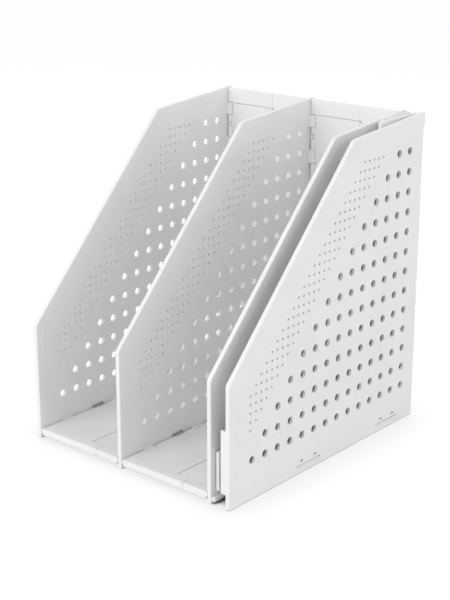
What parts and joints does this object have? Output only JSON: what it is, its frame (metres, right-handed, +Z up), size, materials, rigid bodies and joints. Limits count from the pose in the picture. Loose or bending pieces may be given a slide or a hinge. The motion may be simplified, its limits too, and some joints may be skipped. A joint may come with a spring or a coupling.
{
  "type": "folding letter rack",
  "caption": "Free-standing rack of perforated sloping side panels joined by folding backs and floors, for papers and magazines on edge; one bay is folded flat.",
  "frame": {"origin": "middle of the footprint on the desk, with two bays open and the right bay folded", "axes": "+X to the right across the bays, +Y from the low front to the back, +Z up"},
  "size_m": [0.2166, 0.256, 0.2738],
  "materials": {
    "white_plastic": "fine satin moulding texture",
    "pin_steel": "drawn wire"
  },
  "bodies": {
    "left_end": {"left_end_panel": "white_plastic", "back_left_pins_1": "pin_steel", "floor_left_pins_1": "pin_steel"},
    "left_divider": {"left_divider_panel": "white_plastic", "back_right_pins_1": "pin_steel", "floor_right_pins_1": "pin_steel", "back_left_pins_2": "pin_steel", "floor_left_pins_2": "pin_steel"},
    "right_divider": {"right_divider_panel": "white_plastic", "back_right_pins_2": "pin_steel", "floor_right_pins_2": "pin_steel", "back_left_pins_3": "pin_steel", "floor_left_pins_3": "pin_steel"},
    "right_end": {"right_end_panel": "white_plastic", "back_right_pins_3": "pin_steel", "floor_right_pins_3": "pin_steel"},
    "back_left_1": {"back_left_leaf_1": "white_plastic", "back_centre_pins_1": "pin_steel", "header_left_strip_1": "white_plastic"},
    "back_right_1": {"back_right_leaf_1": "white_plastic", "header_right_strip_1": "white_plastic"},
    "floor_left_1": {"floor_left_leaf_1": "white_plastic"},
    "floor_right_1": {"floor_right_leaf_1": "white_plastic"},
    "back_left_2": {"back_left_leaf_2": "white_plastic", "back_centre_pins_2": "pin_steel", "header_left_strip_2": "white_plastic"},
    "back_right_2": {"back_right_leaf_2": "white_plastic", "header_right_strip_2": "white_plastic"},
    "floor_left_2": {"floor_left_leaf_2": "white_plastic"},
    "floor_right_2": {"floor_right_leaf_2": "white_plastic"},
    "back_left_3": {"back_left_leaf_3": "white_plastic", "back_centre_pins_3": "pin_steel", "header_left_strip_3": "white_plastic"},
    "back_right_3": {"back_right_leaf_3": "white_plastic", "header_right_strip_3": "white_plastic"},
    "floor_left_3": {"floor_left_leaf_3": "white_plastic"},
    "floor_right_3": {"floor_right_leaf_3": "white_plastic"}
  },
  "joints": [
    {"name": "bay_1_fold", "type": "hinge", "parent": "left_divider", "child": "back_right_1", "pos_m": [-0.01433, 0.12161, 0], "axis": [0, 0, 1], "range_deg": [0, 90]},
    {"name": "back_centre_hinge_1", "type": "hinge", "parent": "back_right_1", "child": "back_left_1", "pos_m": [-0.05779, 0.12586, 0], "axis": [0, 0, -1], "range_deg": [0, 180]},
    {"name": "back_left_hinge_1", "type": "hinge", "parent": "back_left_1", "child": "left_end", "pos_m": [-0.10125, 0.12161, 0], "axis": [0, 0, 1], "range_deg": [0, 90]},
    {"name": "floor_left_hinge_1", "type": "hinge", "parent": "left_end", "child": "floor_left_1", "pos_m": [-0.10125, 0, 0.007], "axis": [0, -1, 0], "range_deg": [0, 90]},
    {"name": "floor_right_hinge_1", "type": "hinge", "parent": "left_divider", "child": "floor_right_1", "pos_m": [-0.01433, 0, 0.007], "axis": [0, 1, 0], "range_deg": [0, 90]},
    {"name": "bay_2_fold", "type": "hinge", "parent": "left_divider", "child": "back_left_2", "pos_m": [-0.00425, 0.12161, 0], "axis": [0, 0, -1], "range_deg": [0, 90]},
    {"name": "back_centre_hinge_2", "type": "hinge", "parent": "back_left_2", "child": "back_right_2", "pos_m": [0.03921, 0.12586, 0], "axis": [0, 0, 1], "range_deg": [0, 180]},
    {"name": "back_right_hinge_2", "type": "hinge", "parent": "back_right_2", "child": "right_divider", "pos_m": [0.08267, 0.12161, 0], "axis": [0, 0, -1], "range_deg": [0, 90]},
    {"name": "floor_left_hinge_2", "type": "hinge", "parent": "left_divider", "child": "floor_left_2", "pos_m": [-0.00425, 0, 0.007], "axis": [0, -1, 0], "range_deg": [0, 90]},
    {"name": "floor_right_hinge_2", "type": "hinge", "parent": "right_divider", "child": "floor_right_2", "pos_m": [0.08267, 0, 0.007], "axis": [0, 1, 0], "range_deg": [0, 90]},
    {"name": "bay_3_open", "type": "hinge", "parent": "right_divider", "child": "back_left_3", "pos_m": [0.09275, 0.12161, 0], "axis": [0, 0, 1], "range_deg": [0, 90]},
    {"name": "back_centre_hinge_3", "type": "hinge", "parent": "back_left_3", "child": "back_right_3", "pos_m": [0.097, 0.07815, 0], "axis": [0, 0, -1], "range_deg": [0, 180]},
    {"name": "back_right_hinge_3", "type": "hinge", "parent": "back_right_3", "child": "right_end", "pos_m": [0.10125, 0.12161, 0], "axis": [0, 0, 1], "range_deg": [0, 90]},
    {"name": "floor_left_hinge_3", "type": "hinge", "parent": "right_divider", "child": "floor_left_3", "pos_m": [0.09275, 0, 0.007], "axis": [0, 1, 0], "range_deg": [0, 90]},
    {"name": "floor_right_hinge_3", "type": "hinge", "parent": "right_end", "child": "floor_right_3", "pos_m": [0.10125, 0, 0.007], "axis": [0, -1, 0], "range_deg": [0, 90]}
  ],
  "couplings": [
    {"joint": "back_centre_hinge_1", "follows": "bay_1_fold", "ratio": 2},
    {"joint": "back_left_hinge_1", "follows": "bay_1_fold", "ratio": 1},
    {"joint": "floor_left_hinge_1", "follows": "bay_1_fold", "ratio": 1},
    {"joint": "floor_right_hinge_1", "follows": "bay_1_fold", "ratio": 1},
    {"joint": "back_centre_hinge_2", "follows": "bay_2_fold", "ratio": 2},
    {"joint": "back_right_hinge_2", "follows": "bay_2_fold", "ratio": 1},
    {"joint": "floor_left_hinge_2", "follows": "bay_2_fold", "ratio": 1},
    {"joint": "floor_right_hinge_2", "follows": "bay_2_fold", "ratio": 1},
    {"joint": "back_centre_hinge_3", "follows": "bay_3_open", "ratio": 2},
    {"joint": "back_right_hinge_3", "follows": "bay_3_open", "ratio": 1},
    {"joint": "floor_left_hinge_3", "follows": "bay_3_open", "ratio": 1},
    {"joint": "floor_right_hinge_3", "follows": "bay_3_open", "ratio": 1}
  ]
}
